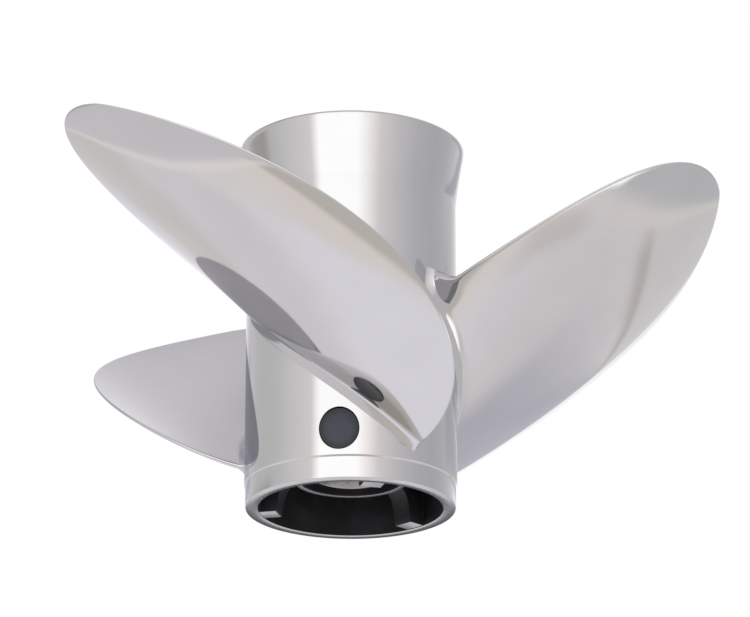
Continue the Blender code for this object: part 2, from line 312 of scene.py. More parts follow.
def bladeSurface(chord, row, number):
    b = blade
    rows = bladeRows()
    radii, fillets = rows[row].T
    root, tip = barrel["radius"], b["diameter"] / 2
    share = (radii - root) / (tip - root)
    station = np.sqrt(np.clip(1 - share, 0, None))
    leading = edgeCurve(b["leadingDeg"], station) + fillets * b["noseFilletShare"] / radii
    trailing = edgeCurve(b["trailingDeg"], station) - fillets / radii
    pitch = b["pitch"][0] + b["pitch"][1] * share + b["pitch"][2] * share ** 2
    slope = np.arctan2(pitch, math.tau * radii)
    arch = 4 * chord * (1 - chord)
    angle = leading + (trailing - leading) * chord
    chordLength = radii * (leading - trailing) / np.cos(slope)
    bow = -b["camber"] * share * chordLength * arch
    thickness = (b["rootThickness"] - b["edgeThickness"]) * station ** b["thinningPower"]
    swell = thickness * arch ** b["fullness"]
    height = b["rake"][0] + b["rake"][1] * share + b["rake"][2] * share ** 2 - pitch * angle / math.tau
    # The trailing heel sweeps up along the barrel
    heel = np.clip(1 - (1 - chord) * chordLength / b["heelRadius"], 0, 1)
    fade = np.clip(1 - (radii - root) / b["heelReach"], 0, 1)
    height += b["heelRadius"] * (1 - np.sqrt(1 - heel ** 2)) * fade ** 2 * (3 - 2 * fade)

    def place(offset):
        around = angle + offset * np.sin(slope) / radii + bladeAngle(number)
        z = height + offset * np.cos(slope) + rimZ
        return np.stack([radii * np.cos(around), radii * np.sin(around), z], axis=1)

    # The edge is rounded with its own half thickness, measured square to the outline
    middle = place(bow)
    span = row >= len(b["skirtDepths"]) + b["filletRows"]
    onOutline = [np.flatnonzero(span & (chord == end)) for end in (0.0, 1.0)]
    outline = np.concatenate([middle[on[np.argsort(row[on])]][::order]
                              for on, order in zip(onOutline, (1, -1))])
    along = np.minimum(chord, 1 - chord) * chordLength
    distance = along.copy()
    distance[span] = distanceToLine(middle[span], outline)
    # Both edges are blunt by the root, and the fillet is tighter under the leading one
    nose, tail = (np.clip(1 - reach / b["bluntReach"], 0, 1) for reach in (chord, 1 - chord))
    blunt = (b["bluntThickness"][0] * nose + b["bluntThickness"][1] * tail) * station ** b["bluntPower"]
    easing = np.clip(chord / b["noseReach"], 0, 1)
    filletShare = b["noseFilletShare"] + (1 - b["noseFilletShare"]) * easing
    edge = (b["edgeThickness"] + blunt) / 2 + fillets * filletShare
    rounding = np.sqrt(np.clip(1 - (1 - np.minimum(distance / edge, 1)) ** 2, 0, 1))
    half = edge * rounding + swell / 2
    deeper = fillets * (b["frontFilletShare"] - 1) * rounding
    return place(bow - half - deeper), place(bow + half), distance


def makeBlade(number):
    b = blade
    rowCount = len(bladeRows()) - 1
    sides = []
    for side in (0, 1):
        bpy.ops.object.select_all(action="DESELECT")
        bpy.ops.mesh.primitive_grid_add(x_subdivisions=b["columns"], y_subdivisions=rowCount, size=1)
        face = bpy.context.object
        flat = vertexPlaces(face) + 0.5
        column = np.round(flat[:, 0] * b["columns"])
        row = np.round(flat[:, 1] * rowCount).astype(int)
        chord = 0.5 - 0.5 * np.cos(math.pi * column / b["columns"])
        surface = bladeSurface(chord, row, number)
        setPlaces(face, surface[side])
        noteEdge(face, surface[2])
        sides.append(face)
    selectOnly(*sides)
    bpy.ops.object.join()
    piece = rename(bpy.context.object, f"blade{number + 1}")
    editMode(piece)
    bpy.ops.mesh.select_all(action="SELECT")
    bpy.ops.mesh.remove_doubles(threshold=b["weldDistance"])
    bpy.ops.mesh.select_all(action="DESELECT")
    bpy.ops.mesh.select_non_manifold()
    bpy.ops.mesh.edge_face_add()
    bpy.ops.mesh.select_all(action="SELECT")
    bpy.ops.mesh.normals_make_consistent(inside=False)
    bpy.ops.object.mode_set(mode="OBJECT")
    finishShading(piece, b["sharpDeg"])
    return piece


# Inner hub, ribs, bush and sleeve

hub = {
    "boreRadius": 0.0265,
    "shoulderRadius": 0.0210,
    "shoulderDepth": 0.0070,
    "rounding": 0.0008,
    "roundingSteps": 4,
    "sides": 192,
    "sharpDeg": 30,
}
rib = {
    "firstDeg": 44.8,
    "frontWidth": 0.0116,
    "aftWidth": 0.0080,
    "footRadius": 0.0385,
    "hollowHeight": 0.0175,
    "fillet": 0.0020,
    "overlap": 0.0004,
    "columns": 44,
    "bevel": 0.0005,
    "bevelSegments": 2,
    "sharpDeg": 35,
}
bush = {"gap": 0.0003, "rounding": 0.0008, "roundingSteps": 4, "sides": 160, "sharpDeg": 30}
sleeve = {
    "seatRadius": 0.0170,
    "seatDepth": 0.0080,
    "seatStep": 0.0012,
    "chamfer": 0.0006,
    "chamferSteps": 3,
    "splines": 15,
    "minorRadius": 0.0132,
    "majorRadius": 0.0146,
    "flankShares": (0.18, 0.30),
    "boreTolerance": 0.00001,
    "sides": 360,
    "sharpDeg": 30,
}
plug = {
    "gap": 0.0003,
    "innerRadius": 0.0492,
    "setback": 0.0008,
    "crown": 0.0006,
    "rounding": 0.0005,
    "roundingSteps": 4,
    "crownShare": 0.80,
    "crownSteps": (1, 0.9, 0.8, 0.65, 0.5, 0.3, 0.02),
    "sides": 96,
    "sharpDeg": 40,
}


def makeHub():
    corners = [
        (hubRadius, hubAftZ, hub["rounding"]),
        (hubRadius, hubFrontZ, hub["rounding"]),
        (hub["boreRadius"], hubFrontZ, hub["rounding"]),
        (hub["boreRadius"], hubAftZ - hub["shoulderDepth"], 0),
        (hub["shoulderRadius"], hubAftZ - hub["shoulderDepth"], hub["rounding"]),
        (hub["shoulderRadius"], hubAftZ, hub["rounding"]),
    ]
    piece = turnProfile("innerHub", roundedProfile(corners, hub["roundingSteps"]), hub["sides"])
    finishShading(piece, hub["sharpDeg"])
    return piece


def makeRib(number):
    inner, outer = hubRadius - rib["overlap"], barrel["boreRadius"] + rib["overlap"]
    bpy.ops.object.select_all(action="DESELECT")
    bpy.ops.mesh.primitive_grid_add(x_subdivisions=rib["columns"], y_subdivisions=1, size=1)
    piece = rename(bpy.context.object, f"rib{number + 1}")
    editMode(piece)
    bpy.ops.mesh.select_all(action="SELECT")
    bpy.ops.mesh.extrude_region_move(TRANSFORM_OT_translate={"value": (0, 0, 1)})
    bpy.ops.mesh.select_all(action="SELECT")
    bpy.ops.mesh.normals_make_consistent(inside=False)
    bpy.ops.object.mode_set(mode="OBJECT")
    unit = vertexPlaces(piece)
    radius = inner + (outer - inner) * (unit[:, 0] + 0.5)
    # The sides swell into the hub and the barrel with a cast fillet
    wall = np.minimum(radius - inner, outer - radius)
    swell = rib["fillet"] - np.sqrt(rib["fillet"] ** 2 - np.clip(rib["fillet"] - wall, 0, None) ** 2)
    width = np.where(unit[:, 2] < 0.5, rib["frontWidth"], rib["aftWidth"]) / 2 + swell
    # The front edge hollows back from the foot to the hub, steep at the foot
    back = np.clip((rib["footRadius"] - radius) / (rib["footRadius"] - hubRadius), 0, 1)
    hollow = rib["hollowHeight"] * np.sqrt(1 - (1 - back) ** 2)
    z = np.where(unit[:, 2] < 0.5, ribFrontZ + hollow, ribAftZ)
    setPlaces(piece, np.stack([radius, np.sign(unit[:, 1]) * width, z], axis=1))
    bevel = piece.modifiers.new("edges", "BEVEL")
    bevel.width, bevel.segments = rib["bevel"], rib["bevelSegments"]
    bevel.limit_method, bevel.angle_limit = "ANGLE", math.radians(rib["sharpDeg"])
    applyModifiers(piece)
    piece.rotation_euler.z = math.radians(rib["firstDeg"]) + math.tau * number / blade["count"]
    settlePlace(piece)
    finishShading(piece, rib["sharpDeg"])
    return piece


def makeBush():
    inner = sleeveRadius + bush["gap"]
    corners = [(bushRadius, bushAftZ, bush["rounding"]), (bushRadius, bushFrontZ, bush["rounding"]),
               (inner, bushFrontZ, bush["rounding"]), (inner, bushAftZ, bush["rounding"])]
    piece = turnProfile("driveBush", roundedProfile(corners, bush["roundingSteps"]), bush["sides"])
    finishShading(piece, bush["sharpDeg"])
    return piece


def makeSleeve():
    s = sleeve
    seatEnd = sleeveFrontZ + s["seatDepth"]
    profile = roundedProfile([
        (sleeveRadius, sleeveAftZ, s["chamfer"]),
        (sleeveRadius, sleeveFrontZ, s["chamfer"]),
        (s["seatRadius"], sleeveFrontZ, s["chamfer"] / 3),
        (s["majorRadius"], seatEnd, 0),
        (s["minorRadius"], seatEnd + s["seatStep"], 0),
        (s["minorRadius"], sleeveAftZ, 0),
    ], s["chamferSteps"])
    piece = turnProfile("splinedSleeve", profile, s["sides"])
    places = vertexPlaces(piece)
    radius = np.hypot(places[:, 0], places[:, 1])
    tooth = np.arctan2(places[:, 1], places[:, 0]) / math.tau * s["splines"]
    away = np.abs(tooth - np.round(tooth))
    floorShare, topShare = s["flankShares"]
    depth = np.clip((topShare - away) / (topShare - floorShare), 0, 1)
    grooved = s["minorRadius"] + (s["majorRadius"] - s["minorRadius"]) * depth
    scale = np.where(radius < s["minorRadius"] + s["boreTolerance"], grooved / radius, 1.0)
    places[:, :2] *= scale[:, None]
    setPlaces(piece, places)
    finishShading(piece, s["sharpDeg"])
    return piece


def makePlug(number):
    radius = vent["radius"] - plug["gap"]
    top = barrel["radius"] - plug["setback"]
    line = [(radius, plug["innerRadius"])]
    for turn in np.linspace(0, math.pi / 2, plug["roundingSteps"] + 1):
        line.append((radius - plug["rounding"] * (1 - math.cos(turn)),
                     top - plug["rounding"] * (1 - math.sin(turn))))
    dome = radius * plug["crownShare"]
    line += [(dome * share, top + plug["crown"] * (1 - share ** 2)) for share in plug["crownSteps"]]
    piece = turnProfile(f"ventPlug{number + 1}", line, plug["sides"], solid=True)
    places = vertexPlaces(piece)
    # The distance from the plug's rim drives its painted shade
    noteEdge(piece, radius - np.hypot(places[:, 0], places[:, 1]))
    piece.matrix_world = ventPlace(number)
    settlePlace(piece)
    finishShading(piece, plug["sharpDeg"])
    return piece


pieces = {"exhaust_barrel": makeBarrel()}
print("barrel turned")
for number in range(blade["count"]):
    pieces[f"blade_{number + 1}"] = makeBlade(number)
print("blades bent")
pieces["inner_hub"] = makeHub()
pieces["drive_bush"] = makeBush()
pieces["splined_sleeve"] = makeSleeve()
for number in range(blade["count"]):
    pieces[f"rib_{number + 1}"] = makeRib(number)
    pieces[f"vent_plug_{number + 1}"] = makePlug(number)
print("inside and plugs done")


# Materials

# sRGB hex to the linear colour that a shader takes
def colour(hexText):
    channels = [int(hexText[i:i + 2], 16) / 255 for i in (1, 3, 5)]
    return [c / 12.92 if c <= 0.04045 else ((c + 0.055) / 1.055) ** 2.4 for c in channels] + [1.0]


def addNode(tree, kind, settings=None, links=None):
    node = tree.nodes.new(kind)
    for key, value in (settings or {}).items():
        if isinstance(key, str) and hasattr(node, key):
            setattr(node, key, value)
        else:
            node.inputs[key].default_value = value
    for socket, (source, output) in (links or {}).items():
        tree.links.new(source.outputs[output], node.inputs[socket])
    return node


def newMaterial(name, settings):
    material = bpy.data.materials.new(name)
    material.use_nodes = True
    shader = material.node_tree.nodes["Principled BSDF"]
    for key, value in settings.items():
        shader.inputs[key].default_value = value
    return material, material.node_tree, shader


# Cast stainless steel, ground on a belt and buffed by hand: mirror bright and clear, with faint ripples
# left by the belt, hazy patches, fine buffing lines, and a duller skin in the root corners that the wheel
# can't reach and along the edges that get handled
polishedSteel = {
    "colour": "#cdcdcd",
    "hazeColour": "#c5c5c5",
    "roughness": 0.042,
    "haze": 0.030,
    "hazeSize": 0.028,
    "lines": 0.022,
    "lineSpacing": 0.0009,  # the real lines are about 0.1 mm apart, and too fine to show
    "lineLength": 0.05,
    "lineHeight": 0.0000004,
    "rippleSize": 0.020,
    "rippleHeight": 0.00004,
    "cornerDepth": 0.0040,
    "cornerDullness": 0.10,
    "edgeWidth": 0.0024,
    "edgeDullness": 0.10,
}


def polishedStainless(name, turned):
    p = polishedSteel
    material, tree, shader = newMaterial(name, {"Metallic": 1.0})
    place = addNode(tree, "ShaderNodeTexCoord")
    split = addNode(tree, "ShaderNodeSeparateXYZ", None, {0: (place, "Object")})
    flat = addNode(tree, "ShaderNodeCombineXYZ", None, {0: (split, 0), 1: (split, 1)})
    radius = addNode(tree, "ShaderNodeVectorMath", {"operation": "LENGTH"}, {0: (flat, 0)})
    # Buffing lines run round the barrel, and round the shaft on the blades
    across = addNode(tree, "ShaderNodeMath", {"operation": "DIVIDE", 1: p["lineSpacing"]},
                     {0: (split, 2) if turned else (radius, 1)})
    lift = addNode(tree, "ShaderNodeCombineXYZ", None, {2: (across, 0)})
    stretch = 1 / p["lineLength"]
    streak = addNode(tree, "ShaderNodeVectorMath", {"operation": "MULTIPLY_ADD", 1: (stretch, stretch, 0)},
                     {0: (place, "Object"), 2: (lift, 0)})
    lines = addNode(tree, "ShaderNodeTexNoise", {"Scale": 1.0, "Detail": 2.0}, {"Vector": (streak, 0)})
    haze = addNode(tree, "ShaderNodeTexNoise", {"Scale": 1 / p["hazeSize"], "Detail": 3.0},
                   {"Vector": (place, "Object")})
    ripple = addNode(tree, "ShaderNodeTexNoise", {"Scale": 1 / p["rippleSize"], "Detail": 0.0},
                     {"Vector": (place, "Object")})
    tone = addNode(tree, "ShaderNodeMix", {
        "data_type": "RGBA", 6: colour(p["colour"]), 7: colour(p["hazeColour"])}, {0: (haze, 0)})
    tree.links.new(tone.outputs[2], shader.inputs["Base Color"])
    dull = addNode(tree, "ShaderNodeMath", {"operation": "MULTIPLY_ADD", 1: p["haze"], 2: p["roughness"]},
                   {0: (haze, 0)})
    dull = addNode(tree, "ShaderNodeMath", {"operation": "MULTIPLY_ADD", 1: p["lines"]},
                   {0: (lines, 0), 2: (dull, 0)})
    edge = addNode(tree, "ShaderNodeAttribute", {"attribute_name": "fromEdge"})
    edge = addNode(tree, "ShaderNodeMapRange", {2: p["edgeWidth"], 3: p["edgeDullness"], 4: 0.0},
                   {0: (edge, "Fac")})
    dull = addNode(tree, "ShaderNodeMath", {"operation": "MULTIPLY_ADD"},
                   {0: (edge, 0), 1: (lines, 0), 2: (dull, 0)})
    if not turned:
        corner = addNode(tree, "ShaderNodeMapRange", {
            1: barrel["radius"], 2: barrel["radius"] + p["cornerDepth"], 3: p["cornerDullness"], 4: 0.0},
            {0: (radius, 1)})
        dull = addNode(tree, "ShaderNodeMath", {"operation": "ADD"}, {0: (dull, 0), 1: (corner, 0)})
    tree.links.new(dull.outputs[0], shader.inputs["Roughness"])
    height = addNode(tree, "ShaderNodeMath", {"operation": "MULTIPLY", 1: p["rippleHeight"]},
                     {0: (ripple, 0)})
    height = addNode(tree, "ShaderNodeMath", {"operation": "MULTIPLY_ADD", 1: p["lineHeight"]},
                     {0: (lines, 0), 2: (height, 0)})
    bump = addNode(tree, "ShaderNodeBump", {"Distance": 1.0}, {"Height": (height, 0)})
    tree.links.new(bump.outputs[0], shader.inputs["Normal"])
    return material


# Black exhaust paint sprayed on the raw casting: satin, with the casting's grain under it, soft orange
# peel, and a grey bloom where exhaust and handling have rubbed it
exhaustPaint = {
    "colour": "#141416",
    "bloomColour": "#2c2c30",
    "bloomSize": 0.022,
    "bloomSpread": (0.45, 0.75),
    "roughness": (0.46, 0.64),
    "gloss": 0.35,
    "grainSize": 0.0014,
    "grainHeight": 0.00007,
    "peelSize": 0.0045,
    "peelHeight": 0.00010,
}


def blackPaint():
    p = exhaustPaint
    material, tree, shader = newMaterial("blackExhaustPaint", {"Specular IOR Level": p["gloss"]})
    place = addNode(tree, "ShaderNodeTexCoord")
    bloom = addNode(tree, "ShaderNodeTexNoise", {"Scale": 1 / p["bloomSize"], "Detail": 5.0},
                    {"Vector": (place, "Object")})
    grain = addNode(tree, "ShaderNodeTexNoise", {"Scale": 1 / p["grainSize"], "Detail": 3.0},
                    {"Vector": (place, "Object")})
    peel = addNode(tree, "ShaderNodeTexNoise", {"Scale": 1 / p["peelSize"], "Detail": 1.0},
                   {"Vector": (place, "Object")})
    rubbed = addNode(tree, "ShaderNodeMapRange", {1: p["bloomSpread"][0], 2: p["bloomSpread"][1]},
                     {0: (bloom, 0)})
    tone = addNode(tree, "ShaderNodeMix", {
        "data_type": "RGBA", 6: colour(p["colour"]), 7: colour(p["bloomColour"])}, {0: (rubbed, 0)})
    tree.links.new(tone.outputs[2], shader.inputs["Base Color"])
    dull = addNode(tree, "ShaderNodeMapRange", {3: p["roughness"][0], 4: p["roughness"][1]},
                   {0: (grain, 0)})
    tree.links.new(dull.outputs[0], shader.inputs["Roughness"])
    height = addNode(tree, "ShaderNodeMath", {"operation": "MULTIPLY", 1: p["peelHeight"]}, {0: (peel, 0)})
    height = addNode(tree, "ShaderNodeMath", {"operation": "MULTIPLY_ADD", 1: p["grainHeight"]},
                     {0: (grain, 0), 2: (height, 0)})
    bump = addNode(tree, "ShaderNodeBump", {"Distance": 1.0}, {"Height": (height, 0)})
    tree.links.new(bump.outputs[0], shader.inputs["Normal"])
    return material


# Stainless steel faced on a lathe: satin, with the tool's fine rings round the shaft. The barrel's rim is
# buffed afterwards
turnedSteel = {
    "colour": "#bdbcbb",
    "stainColour": "#a5a3a1",
    "stainSize": 0.009,
    "roughness": (0.30, 0.42),
    "rimRoughness": (0.09, 0.15),
    "ringSpacing": 0.0006,  # the real feed is about 0.15 mm, and too fine to show
    "ringHeight": 0.0000006,
}


def machinedSteel(name, roughness):
    p = turnedSteel
    material, tree, shader = newMaterial(name, {"Metallic": 1.0})
    place = addNode(tree, "ShaderNodeTexCoord")
    ringScale = math.tau / (20 * p["ringSpacing"])  # the texture turns 20 radians a metre at scale 1
    rings = addNode(tree, "ShaderNodeTexWave", {
        "wave_type": "RINGS", "rings_direction": "Z", "Scale": ringScale, "Distortion": 1.5, "Detail": 2.0},
        {"Vector": (place, "Object")})
    stain = addNode(tree, "ShaderNodeTexNoise", {"Scale": 1 / p["stainSize"], "Detail": 4.0},
                    {"Vector": (place, "Object")})
    tone = addNode(tree, "ShaderNodeMix", {
        "data_type": "RGBA", 6: colour(p["colour"]), 7: colour(p["stainColour"])}, {0: (stain, 0)})
    tree.links.new(tone.outputs[2], shader.inputs["Base Color"])
    dull = addNode(tree, "ShaderNodeMapRange", {3: roughness[0], 4: roughness[1]}, {0: (stain, 0)})
    tree.links.new(dull.outputs[0], shader.inputs["Roughness"])
    height = addNode(tree, "ShaderNodeMath", {"operation": "MULTIPLY", 1: p["ringHeight"]}, {0: (rings, 1)})
    bump = addNode(tree, "ShaderNodeBump", {"Distance": 1.0}, {"Height": (height, 0)})
    tree.links.new(bump.outputs[0], shader.inputs["Normal"])
    return material


# Acetal moulded in a steel tool: black and waxy, with a fine matt grain and faint flow streaks
drivePolymer = {
    "colour": "#19191b",
    "flowColour": "#242427",
    "flowSize": 0.012,
    "roughness": (0.40, 0.56),
    "grainSize": 0.0008,  # the real grain is about 0.1 mm
    "grainHeight": 0.000012,
}
# Glass-filled nylon plug with an eroded-tool skin: dark slate and satin, with painted shade darkening its
# rim where it sits down in the hole
plugNylon = {
    "colour": "#1c212b",
    "flowColour": "#363e4e",
    "holeShadeColour": "#0c0e12",
    "holeShadeWidth": (0.0012, 0.0040),
    "flowSize": 0.007,
    "roughness": (0.30, 0.46),
    "grainSize": 0.0007,
    "grainHeight": 0.000012,
}


def mouldedPlastic(name, p):
    material, tree, shader = newMaterial(name, {})
    place = addNode(tree, "ShaderNodeTexCoord")
    flow = addNode(tree, "ShaderNodeTexNoise", {
        "Scale": 1 / p["flowSize"], "Detail": 4.0, "Distortion": 0.6}, {"Vector": (place, "Object")})
    grain = addNode(tree, "ShaderNodeTexNoise", {"Scale": 1 / p["grainSize"], "Detail": 2.0},
                    {"Vector": (place, "Object")})
    tone = addNode(tree, "ShaderNodeMix", {
        "data_type": "RGBA", 6: colour(p["colour"]), 7: colour(p["flowColour"])}, {0: (flow, 0)})
    # Painted shade: the plug's rim is darkened towards the hole's edge, fading out over its width
    if "holeShadeWidth" in p:
        edge = addNode(tree, "ShaderNodeAttribute", {"attribute_name": "fromEdge"})
        crown = addNode(tree, "ShaderNodeMapRange", {1: p["holeShadeWidth"][0], 2: p["holeShadeWidth"][1]},
                        {0: (edge, "Fac")})
        tone = addNode(tree, "ShaderNodeMix", {"data_type": "RGBA", 6: colour(p["holeShadeColour"])},
                       {0: (crown, 0), 7: (tone, 2)})
    tree.links.new(tone.outputs[2], shader.inputs["Base Color"])
    dull = addNode(tree, "ShaderNodeMapRange", {3: p["roughness"][0], 4: p["roughness"][1]}, {0: (flow, 0)})
    tree.links.new(dull.outputs[0], shader.inputs["Roughness"])
    height = addNode(tree, "ShaderNodeMath", {"operation": "MULTIPLY", 1: p["grainHeight"]},
                     {0: (grain, 0)})
    bump = addNode(tree, "ShaderNodeBump", {"Distance": 1.0}, {"Height": (height, 0)})
    tree.links.new(bump.outputs[0], shader.inputs["Normal"])
    return material


polishedBarrel = polishedStainless("polishedStainlessBarrel", True)
polishedBlade = polishedStainless("polishedStainlessBlade", False)
painted = blackPaint()
machined = machinedSteel("turnedStainlessSteel", turnedSteel["roughness"])
buffed = machinedSteel("buffedStainlessRim", turnedSteel["rimRoughness"])
bushFinish = mouldedPlastic("mouldedAcetal", drivePolymer)
plugFinish = mouldedPlastic("mouldedNylon", plugNylon)

# How squarely a face has to look at the shaft, or along it, to take the finish of that side
facing = {
    "bore": 0.5,
    "boreEdge": 0.35,
    "rim": 0.9,
    "ribFront": 0.95,
    "ribFrontDepth": 0.001,
    "hubEnds": 0.9,
}


# The barrel is polished outside, turned bright on its rim and painted black inside
def dressBarrel(piece):
    for finish in (polishedBarrel, painted, buffed):
        piece.data.materials.append(finish)
    for face in piece.data.polygons:
        out = Vector((face.center.x, face.center.y))
        outward = out.normalized().dot(Vector((face.normal.x, face.normal.y)))
        inBore = abs(outward) < facing["boreEdge"] and out.length < barrel["boreRadius"]
        if outward < -facing["bore"] or inBore:
            face.material_index = 1
        elif face.normal.z < -facing["rim"] and face.center.z < rimZ + barrel["stepRounding"]:
            face.material_index = 2


dressBarrel(pieces["exhaust_barrel"])
for number in range(1, blade["count"] + 1):
    pieces[f"blade_{number}"].data.materials.append(polishedBlade)
    pieces[f"vent_plug_{number}"].data.materials.append(plugFinish)
    ribPiece = pieces[f"rib_{number}"]
    ribPiece.data.materials.append(painted)
    ribPiece.data.materials.append(machined)
    for face in ribPiece.data.polygons:
        if face.normal.z < -facing["ribFront"] and face.center.z < ribFrontZ + facing["ribFrontDepth"]:
            face.material_index = 1
pieces["inner_hub"].data.materials.append(painted)
pieces["inner_hub"].data.materials.append(machined)
for face in pieces["inner_hub"].data.polygons:
    if abs(face.normal.z) > facing["hubEnds"]:
        face.material_index = 1
pieces["drive_bush"].data.materials.append(bushFinish)
pieces["splined_sleeve"].data.materials.append(machined)

for node, piece in pieces.items():
    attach(piece, "root")
    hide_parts(node)
print("finishes set")


# Stage: floor, camera and light

camera = {
    "focal": 183.66,
    "sensor": 36.0,
    "distance": 1.99247,
    "belowDeg": 16.95,
    "yawDeg": 0.354,
    "pitchDeg": 3.004,
    "rollDeg": 0.203,
}
# The studio is given by what the polished steel shows of it, so each light is its tone over the steel's own
steelReflectance = 0.6
floor = {
    "halfSize": 4.0,
    "tone": "#f4f4f3",
    "roughness": 0.6,
    "grainSize": 0.004,
    "grainShare": 0.02,
}
# White tent round the part: tones by azimuth, from behind over the left, the front and the right, with
# darker shades between two azimuths and two elevations, and a tone for the part that hangs overhead
walls = {
    "startDeg": -270,
    "tones": (
        (-270, "#dcdde4"), (-255, "#c6c4c8"), (-240, "#bbb9be"), (-224, "#b6b4b8"), (-212, "#b0b0b1"),
        (-195, "#b0b0b1"), (-178, "#b4b3b4"), (-165, "#bcbabb"), (-148, "#c5c2c3"), (-133, "#cecaca"),
        (-124, "#ffffff"), (-84, "#ffffff"), (-72, "#ebe6e4"), (-60, "#ccc7c8"), (-40, "#b9b6b9"),
        (-18, "#aaa9ac"), (6, "#a4a3a6"), (25, "#a9a8ab"), (40, "#b3b3b5"), (53, "#c0bfc2"),
        (66, "#d8d8da"), (80, "#e8e8ea"), (90, "#dcdde4"),
    ),
    "shades": (
        {"tone": "#98938f", "share": 0.9, "azimuths": (-232, -186), "azimuthSoftness": 14,
         "elevations": (2, 13.5), "elevationSoftness": 3},
        {"tone": "#98989f", "share": 0.9, "azimuths": (32, 84), "azimuthSoftness": 10,
         "elevations": (16.2, 18.9), "elevationSoftness": 1},
        {"tone": "#a8a7ab", "share": 0.5, "azimuths": (40, 82), "azimuthSoftness": 14,
         "elevations": (18.9, 23), "elevationSoftness": 1},
        {"tone": "#9c9ba4", "share": 0.9, "azimuths": (-262, -232), "azimuthSoftness": 10,
         "elevations": (15.5, 18.3), "elevationSoftness": 1},
        {"tone": "#8d8c96", "share": 1.0, "azimuths": (-258, -176), "azimuthSoftness": 24,
         "elevations": (34, 66), "elevationSoftness": 16},
    ),
    "overhead": "#b2afb4",
    "overheadSines": (0.25, 0.85),
    "backdrop": "#ffffff",
}
# Lit paper under the part. Every sheet has a tone, how well it covers, and the edges that bound it: the
# weights of x, of y and of the bow (x - bowMiddle) squared, the sum from which it covers, and its softness
lightTable = {
    "depth": 0.20,
    "halfSize": 5.0,
    "tone": "#d3d1d7",
    "bowMiddle": 0.03,
    "sheets": (
        # warm paper to the right
        ("#c5c0c2", 1.0, (((1, 0, 0), 0.20, 0.30),)),
        # paper behind on the left, warmer far off
        ("#c6c3c7", 1.0, (((-1, 0, 0), 0.24, 0.22), ((0, 1, 0), 0.02, 0.20))),
        ("#bfbaba", 1.0, (((-1, 0, 0), 0.50, 0.20), ((0, 1, 0), 0.60, 0.40))),
        # dark room straight behind
        ("#56565c", 1.0, (((-1, 0, 0), -0.28, 0.12), ((1, 0, 0), -0.28, 0.12), ((0, 1, 0), 0.620, 0.07))),
        # blue shade behind on the right
        ("#a9a8b1", 1.0, (((-1, 0.345, 0), -0.31, 0.15), ((1, 0, 0), 0.19, 0.10), ((0, 1, 0), 0.17, 0.20))),
        # sheet laid over it with its shaded edge
        ("#c0bebe", 1.0, (((1, -0.30, 0), 0.435, 0.015), ((0, 1, 0), 0.20, 0.25))),
        ("#a8a3a0", 0.9, (((1, -0.30, 0), 0.415, 0.030), ((-1, 0.30, 0), -0.437, 0.012),
                          ((0, 1, 0), 0.18, 0.20))),
        # paper bent down in front: bright, then beige, with a shaded fold at both ends of its bow
        ("#cfc9c9", 0.9, (((0, -1, 1.42), 0.145, 0.05), ((0, -1, 0), -0.13, 0.12))),
        ("#cfc7c1", 0.8, (((0, -1, 1.42), 0.145, 0.05), ((0, -1, 0), 0.085, 0.08))),
        ("#a09892", 0.36, (((0, -1, 1.42), 0.132, 0.02), ((0, 1, -1.42), -0.165, 0.02),
                           ((1, 0, 0), 0.21, 0.06), ((0, -1, 0), -0.17, 0.06),
                           ((-1, 0.3, 0), -0.33, 0.05))),
        # brown gap before it
        ("#b3ada8", 1.0, (((0, -1, 0), 0.155, 0.025), ((1, 0, 0), -0.31, 0.04), ((-1, 0, 0), -0.22, 0.10))),
        # grey sheet on the left, darker far off, with a bright edge
        ("#bfbbbf", 1.0, (((-1, -0.556, 0), 0.385, 0.03),)),
        ("#b9b9bc", 1.0, (((-1, -0.556, 0), 0.50, 0.12), ((0, 1, 0), 0.40, 0.40))),
        ("#d8d2cf", 0.8, (((-1, -0.556, 0), 0.362, 0.01), ((1, 0.556, 0), -0.378, 0.01))),
        # grey sheet on the right with a bright edge
        ("#b0afb1", 1.0, (((1, -0.81, 0), 0.377, 0.05), ((0, -1, 1.42), 0.10, 0.06))),
        ("#cbc6c1", 0.7, (((1, -0.81, 0), 0.345, 0.02), ((-1, 0.81, 0), -0.372, 0.02),
                          ((0, 1, 0), 0.02, 0.05))),
        # lamp light that spills over the front edge
        ("#ffffff", 1.0, (((0, -1, 1.42), 0.19, 0.02), ((1, 0, 0), 0.23, 0.05), ((-1, 0, 0), -0.43, 0.10),
                          ((0, 1, 0), -0.20, 0.06), ((0, -1, 0), 0.028, 0.02))),
    ),
}


def makeCamera():
    below, yaw = math.radians(camera["belowDeg"]), math.radians(camera["yawDeg"])
    pitch, roll = math.radians(camera["pitchDeg"]), math.radians(camera["rollDeg"])
    away = Vector((0, -math.cos(below), -math.sin(below))) * camera["distance"]
    towards = -away.normalized()
    right = Vector((1, 0, 0))
    up = right.cross(towards)
    aim = (towards * math.cos(yaw) + right * math.sin(yaw)) * math.cos(pitch) + up * math.sin(pitch)
    side = aim.cross(up).normalized()
    top = side.cross(aim)
    across = side * math.cos(roll) + top * math.sin(roll)
    upright = top * math.cos(roll) - side * math.sin(roll)
    data = bpy.data.cameras.new("camera")
    data.lens, data.sensor_width = camera["focal"], camera["sensor"]
    eye = bpy.data.objects.new("camera", data)
    bpy.context.scene.collection.objects.link(eye)
    turn = Matrix((across, upright, -aim)).transposed().to_4x4()
    eye.matrix_world = Matrix.Translation(away + Vector((0, 0, rimZ))) @ turn
    bpy.context.scene.camera = eye


